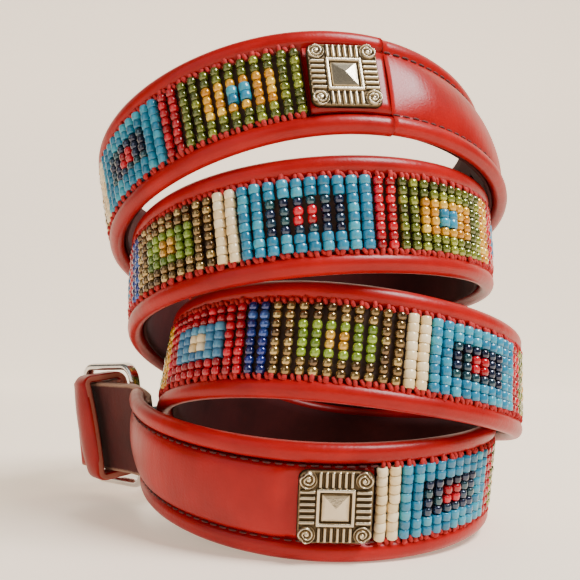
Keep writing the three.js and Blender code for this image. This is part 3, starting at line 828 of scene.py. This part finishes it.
def scrolled(height, dx, dy, hand):  # a spiral ridge round one corner
    radius = np.hypot(dx, dy)
    turns = radius / concho["scrollPitch"] - hand * np.arctan2(dy, dx) / (2 * math.pi)
    ridge = 0.5 + 0.5 * np.cos(turns * 2 * math.pi)
    dot = 1 - smooth(radius, 0.2, 0.42)
    inside = 1 - smooth(radius, concho["scroll"] - 0.12, concho["scroll"] + 0.05)
    scroll = concho["plate"] + 0.1 + 0.5 * np.maximum(ridge**0.7, dot)
    return np.where(inside > 0, concho["plate"] * (1 - inside) + inside * scroll, height)


def roundedCorners(gx, gy):  # how much each point of the square grid moves in
    half, inner = concho["side"] / 2, concho["side"] / 2 - concho["corner"]
    angle = np.arctan2(gy, gx)
    ca, sa = np.abs(np.cos(angle)), np.abs(np.sin(angle))
    square = half / np.maximum(np.maximum(ca, sa), 1e-9)
    centre = inner * (ca + sa)
    disc = centre**2 - (2 * inner**2 - concho["corner"] ** 2)
    arc = np.where(disc > 0, centre + np.sqrt(np.maximum(disc, 0)), square)
    inCorner = (square * ca > inner) & (square * sa > inner)
    limit = np.where(inCorner, np.minimum(arc, square), square)
    return 1 + (limit / square - 1) * smooth(np.maximum(np.abs(gx), np.abs(gy)), 0.72, 1.0)


def conchoPiece(name, length):
    cells, half = concho["cells"], concho["side"] / 2
    grid = np.linspace(-1, 1, cells + 1)
    gx, gy = np.meshgrid(grid, grid, indexing="ij")
    shrink = roundedCorners(gx, gy)
    top = conchoHeight(gx * half, gy * half)
    points = np.stack([gx * half * shrink, gy * half * shrink, top], -1).reshape(-1, 3)
    side = cells + 1
    rim = [i * side for i in range(side)] + [cells * side + j for j in range(1, side)]
    rim += [i * side + cells for i in range(cells - 1, -1, -1)] + [j for j in range(cells - 1, 0, -1)]
    vertices = np.concatenate([points, points[rim] * [0.985, 0.985, 0]])
    corners = [i * side + j for i in range(cells) for j in range(cells)]
    faces = [(k, k + side, k + side + 1, k + 1) for k in corners]
    start = side * side
    for k in range(len(rim)):
        n = (k + 1) % len(rim)
        faces.append((rim[k], start + k, start + n, rim[n]))
    faces.append(tuple(start + k for k in range(len(rim))))
    o, a, c, w = frameAt(length)
    seatHeight = seat + tabThickness + strap["gap"]
    placed = o + vertices[:, :1] * a + vertices[:, 1:2] * c + (vertices[:, 2:] + seatHeight) * w
    mesh = facedMesh(name, placed, faces)
    vertexAttribute(mesh, "relief", np.clip((vertices[:, 2] - 0.55) / 0.8, 0, 1))
    mesh.polygons.foreach_set("use_smooth", [True] * len(mesh.polygons))
    return dressed(newObject(name, mesh), agedSilver)


conchoFromPanel = concho["side"] / 2 + strap["gap"]
conchoOne = conchoPiece("conchoOne", -conchoFromPanel)
conchoTwo = conchoPiece("conchoTwo", panelLength + conchoFromPanel)
print("conchos made")

# chape, keeper, buckle
buckle = {
    "heel": (-54.5, 22.5, 17.9), "lean": -9, "frameFold": 172,
    "chapeWidth": 20.0, "rootWidth": 16.8, "thickness": 1.6, "rootThickness": 0.9, "root": 8.0,
    "return": 12.5, "slot": 4.4, "slotBack": 3.4,
    "height": 28.4, "length": 19.6, "corner": 4.2, "wire": 1.6, "depth": 2.4,
    "keeperWidth": 7.6, "keeperThickness": 2.0, "keeperFrom": 8.6, "keeperCorner": 0.6, "keeperLean": 8.0,
    "keeperPuff": 1.25,
}
barReach = math.hypot(buckle["wire"], buckle["depth"]) / 2 + strap["gap"]
heel = np.array(buckle["heel"])
ro, _, rc, rw = frameAt(-strap["endLength"])
chapeFoot = ro + rw * (liningTop - buckle["rootThickness"] / 2)
away = heel - chapeFoot
away[2] = 0
away = unit(away)
heelLean = math.radians(buckle["lean"])
barUp = np.array([math.sin(heelLean), 0, math.cos(heelLean)])
barUp = unit(barUp - away * (barUp @ away))
chapeOut = unit(np.cross(barUp, away))


def turned(vector, degrees):
    return np.array(Matrix.Rotation(math.radians(degrees), 3, Vector(barUp)) @ Vector(vector))


def chapeRings():
    line = []
    wrap = barReach + buckle["thickness"] / 2
    for back in (buckle["root"] - strap["gap"], buckle["root"] / 2, -strap["gap"]):
        o, a, c, w = frameAt(back - strap["endLength"])
        place = o + w * (liningTop - buckle["rootThickness"] / 2)
        line.append((place, c, w, buckle["rootThickness"], buckle["rootWidth"]))
    for share in (0.2, 0.4, 0.62, 0.82, 1):
        point = chapeFoot + (heel - chapeFoot) * share + chapeOut * wrap * share**2
        c = unit(rc + (barUp - rc) * min(1, 1.7 * share))
        w = unit(rw + (chapeOut - rw) * min(1, 1.6 * share))
        swell = min(1, 5 * share)
        thick = buckle["rootThickness"] + (buckle["thickness"] - buckle["rootThickness"]) * swell
        wide = buckle["rootWidth"] + (buckle["chapeWidth"] - buckle["rootWidth"]) * swell
        line.append((point, c, w, thick, wide))
    for angle in (30, 60, 90, 120, 150, 180):
        w = turned(chapeOut, -angle)
        line.append((heel + w * wrap, barUp, w, buckle["thickness"], buckle["chapeWidth"]))
    last = line[-1]
    line.append((last[0] - away * buckle["return"], *last[1:]))
    return line


def catmull(rows, steps):
    rows = np.array(rows)
    padded = np.concatenate([2 * rows[:1] - rows[1:2], rows, 2 * rows[-1:] - rows[-2:-1]])
    out = []
    for k in range(1, len(padded) - 2):
        p0, p1, p2, p3 = padded[k - 1: k + 3]
        for t in np.linspace(0, 1, steps, endpoint=False):
            square = 2 * p0 - 5 * p1 + 4 * p2 - p3
            cube = 3 * p1 - p0 - 3 * p2 + p3
            out.append(0.5 * (2 * p1 + (p2 - p0) * t + square * t**2 + cube * t**3))
    out.append(rows[-1])
    return np.array(out)


def roundedSection(width, height, corner, steps=4):
    points = []
    for cx, cy, start in ((1, 1, 0), (-1, 1, 90), (-1, -1, 180), (1, -1, 270)):
        x, y = cx * (width / 2 - corner), cy * (height / 2 - corner)
        for angle in np.radians(np.linspace(start, start + 90, steps)):
            points.append((x + corner * math.cos(angle), y + corner * math.sin(angle)))
    return np.array(points)


def denser(points, step):
    out = []
    for k in range(len(points)):
        a, b = points[k], points[(k + 1) % len(points)]
        for t in np.linspace(0, 1, max(1, int(np.linalg.norm(b - a) / step)), endpoint=False):
            out.append(a + (b - a) * t)
    return np.array(out)


def outwardNormal(points, k):
    tangent = unit(points[(k + 1) % len(points)] - points[k - 1])
    normal = np.array([tangent[1], -tangent[0]])
    return normal if normal @ points[k] >= 0 else -normal


def flatSection(width, height, corner, steps=4, parts=12):
    points = roundedSection(width, height, corner, steps)
    out = []
    for k in range(len(points)):
        a, b = points[k], points[(k + 1) % len(points)]
        count = parts if k in (steps - 1, 3 * steps - 1) else 1
        out += [a + (b - a) * t for t in np.linspace(0, 1, count, endpoint=False)]
    return np.array(out)


line = chapeRings()
chapeSteps = 5
packed = catmull([np.concatenate([p, c, w, [t, s]]) for p, c, w, t, s in line], chapeSteps)
rings, wornRows = [], []
for k, row in enumerate(packed):
    c, w = unit(row[3:6]), unit(row[6:9])
    section = flatSection(row[10], row[9], min(0.35, row[9] * 0.4), 4, 20)
    section[:, 0] += np.sign(section[:, 0]) * waver(k * 1.7, 2.0, 0.02)
    rings.append(row[:3] + section[:, :1] * c + section[:, 1:] * w)
    wornRows.append(smooth(np.abs(section[:, 0]), row[10] / 2 - 1.1, row[10] / 2 - 0.3) * 0.9)
runs = np.arange(len(rings)) * mm
chapeBody = newObject("chapeLeather", tubeMesh("chapeLeather", stood(np.array(rings)), runs))
wornRows[-1] = np.ones(len(wornRows[-1]))
# painted shade: the chape is painted dark brown, and only the fold round the bar gets the red leather
dressed(chapeBody, shadePaintedRawLeather, np.concatenate(wornRows))
chapeBody.data.materials.append(redLeather)  # on the fold round the bar
foldStart = len(line) - 9
for face in chapeBody.data.polygons:
    if min(face.vertices) // len(rings[0]) > chapeSteps * foldStart:
        face.material_index = 1


def boxAt(name, lo, hi, basis, place):
    ends = (lo, hi)
    corners = [[ends[i][0], ends[j][1], ends[k][2]] for i in (0, 1) for j in (0, 1) for k in (0, 1)]
    faces = [(0, 1, 3, 2), (4, 6, 7, 5), (0, 4, 5, 1), (2, 3, 7, 6), (0, 2, 6, 4), (1, 5, 7, 3)]
    return newObject(name, facedMesh(name, place + np.array(corners) @ np.array(basis), faces))


slotEnd, slotHalf = barReach + 2 * buckle["thickness"], buckle["slot"] / 2
slotBox = boxAt("slotBox", (-buckle["slotBack"], -slotEnd, -slotHalf), (slotEnd, slotEnd, slotHalf),
                (away, np.cross(barUp, away), barUp), heel)
cut = chapeBody.modifiers.new("slot", "BOOLEAN")
cut.object, cut.solver = slotBox, "EXACT"
applied(chapeBody)
bpy.data.objects.remove(slotBox)

# keeper: a puffy band of red leather round the chape, with raw cut edges
depth = 2 * (barReach + buckle["thickness"] + strap["gap"]) + buckle["keeperThickness"]
height = buckle["chapeWidth"] + 2 * strap["gap"] + buckle["keeperThickness"]
corner = buckle["keeperCorner"] + buckle["keeperThickness"] / 2
keeperLine = denser(roundedSection(depth, height, corner, 7), 0.7)
keeperUp = barUp + away * math.tan(math.radians(buckle["keeperLean"]))
place = heel - away * buckle["keeperFrom"]
rings, wornRows = [], []
for k, (x, y) in enumerate(keeperLine):
    normal = outwardNormal(keeperLine, k)
    end = abs(2 * y / height)
    half = buckle["keeperWidth"] / 2 * (1.08 - 0.36 * end**2.6)
    puff = buckle["keeperPuff"] * (1 - end**2.4)
    section = flatSection(2 * half, buckle["keeperThickness"], 0.6, 5)
    u, v = section[:, 0], section[:, 1]
    section[:, 1] = np.where(v > 0, v + puff * (1 - (u / half) ** 2) - 0.35, v)
    centre = place + chapeOut * x + keeperUp * y
    rings.append(centre + section[:, :1] * away + section[:, 1:] * (chapeOut * normal[0] + barUp * normal[1]))
    wornRows.append(smooth(np.abs(section[:, 0]), half - 0.16, half - 0.02) * (section[:, 1] < 0.3))
runs = np.arange(len(rings) + 1) * 0.7 * mm
keeperBody = newObject("keeperLeather", tubeMesh("keeperLeather", stood(np.array(rings)), runs, looped=True))
dressed(keeperBody, redLeather, np.concatenate(wornRows))

x = turned(away, -buckle["frameFold"])
y, z = np.cross(barUp, x), barUp
wire = buckle["wire"]
wireLine = roundedSection(buckle["length"], buckle["height"] - wire, buckle["corner"] - wire / 2, 9)
frameLine = denser(wireLine, 1.2)
rings = []
for k in range(len(frameLine)):
    normal = outwardNormal(frameLine, k)
    section = roundedSection(wire, buckle["depth"], 0.62, 5)
    centre = heel + x * (frameLine[k][0] + buckle["length"] / 2) + z * frameLine[k][1]
    rings.append(centre + section[:, :1] * (x * normal[0] + z * normal[1]) + section[:, 1:] * y)
runs = np.arange(len(rings) + 1) * mm
buckleFrame = newObject("buckleFrame", tubeMesh("buckleFrame", stood(np.array(rings)), runs, looped=True))
dressed(buckleFrame, polishedSteel)

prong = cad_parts["prong"]
prong.data.materials.clear()
prong.data.materials.append(polishedSteel)
print("buckle made")

# what rides where
for piece, node, slot in (
    (leatherBody, "strap", "red_leather"), (liningBody, "lining", "lining_leather"),
    (padBody, "pad", "red_leather"), (tongueBody, "tongue", "red_leather"),
    (tabBody, "tongue", "red_leather"),
    (conchoOne, "concho_1", "aged_silver"), (conchoTwo, "concho_2", "aged_silver"),
    (chapeBody, "chape", "raw_leather"), (keeperBody, "keeper", "red_leather"),
    (backing, "bead_panel", "glass_beads"), (stitches, "bead_panel", "red_leather"),
    (seams, "pad", "red_leather"),
    *[(piece, "bead_panel", "glass_beads") for piece in beadPieces],
    (buckleFrame, "buckle_frame", "polished_steel"),
):
    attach(piece, "frame" if node == "buckle_frame" else "belt")
    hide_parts(node)

# studio
studio = {
    "camera": (-1.6, -150.3, 34.5), "pitch": 0.086, "pan": 0.025, "roll": -0.012, "focal": 705 / 580,
    "floor": (0.95, 0.81, 0.65), "glow": (0.42, 1.3), "glowFrom": (-0.02, 0.45),
    "world": (1.0, 0.93, 0.84), "worldStrength": 0.2,
    "keyEnergy": 8.0, "keyPlace": (0.32, -0.22, 0.56), "keySize": 0.26,
    "fillEnergy": 1.2, "fillPlace": (-0.45, -0.5, 0.3), "fillSize": 0.6,
}
cameraData = bpy.data.cameras.new("camera")
cameraData.sensor_width = 36
cameraData.lens = 36 * studio["focal"]
cameraData.clip_start = 0.005
camera = bpy.data.objects.new("camera", cameraData)
bpy.context.scene.collection.objects.link(camera)
aim = Matrix.Rotation(studio["pan"], 4, "Z")
aim = aim @ Matrix.Rotation(math.pi / 2 + studio["pitch"], 4, "X") @ Matrix.Rotation(studio["roll"], 4, "Z")
pose = standing @ Matrix.Translation(Vector(studio["camera"])) @ aim
camera.matrix_world = Matrix.Translation(pose.translation * mm) @ pose.to_3x3().to_4x4()
bpy.context.scene.camera = camera

bend = [(0.5 + 0.5 * math.sin(a), 0.5 - 0.5 * math.cos(a)) for a in np.linspace(0, math.pi / 2, 16)[1:]]
profile = [(-1.2, 0.0), (0.5, 0.0), *bend, (1.0, 2.0)]
mesh = bpy.data.meshes.new("backdrop")
vertices = [(x, y, z) for x in (-1.8, 1.8) for y, z in profile]
count = len(profile)
mesh.from_pydata(vertices, [], [(k, count + k, count + k + 1, k + 1) for k in range(count - 1)])
mesh.polygons.foreach_set("use_smooth", [True] * len(mesh.polygons))
backdrop = newObject("backdrop", mesh)
# painted light: the backdrop glows by itself, weaker near the belt and stronger behind it
material, tree, shader = newMaterial("paleFloor")
shader.inputs["Base Color"].default_value = (*studio["floor"], 1)
shader.inputs["Roughness"].default_value = 0.7
shader.inputs["Emission Color"].default_value = (*studio["floor"], 1)
coords = tree.nodes.new("ShaderNodeTexCoord")
apart = tree.nodes.new("ShaderNodeSeparateXYZ")
tree.links.new(coords.outputs["Object"], apart.inputs["Vector"])
glow = tree.nodes.new("ShaderNodeMapRange")
glow.inputs["From Min"].default_value, glow.inputs["From Max"].default_value = studio["glowFrom"]
glow.inputs["To Min"].default_value, glow.inputs["To Max"].default_value = studio["glow"]
tree.links.new(apart.outputs["Y"], glow.inputs["Value"])
tree.links.new(glow.outputs["Result"], shader.inputs["Emission Strength"])
backdrop.data.materials.append(material)

world = bpy.data.worlds.new("studio")
bpy.context.scene.world = world
world.use_nodes = True
sky = world.node_tree.nodes["Background"]
sky.inputs["Color"].default_value = (*studio["world"], 1)
sky.inputs["Strength"].default_value = studio["worldStrength"]


def softbox(name, place, energy, size, target=(0, 0, 0.04)):
    light = bpy.data.lights.new(name, "AREA")
    light.energy, light.size = energy, size
    obj = bpy.data.objects.new(name, light)
    obj.location = place
    obj.rotation_euler = (Vector(target) - Vector(place)).to_track_quat("-Z", "Y").to_euler()
    bpy.context.scene.collection.objects.link(obj)


softbox("key", studio["keyPlace"], studio["keyEnergy"], studio["keySize"])
softbox("fill", studio["fillPlace"], studio["fillEnergy"], studio["fillSize"])
print("studio made")

bpy.context.view_layer.update()
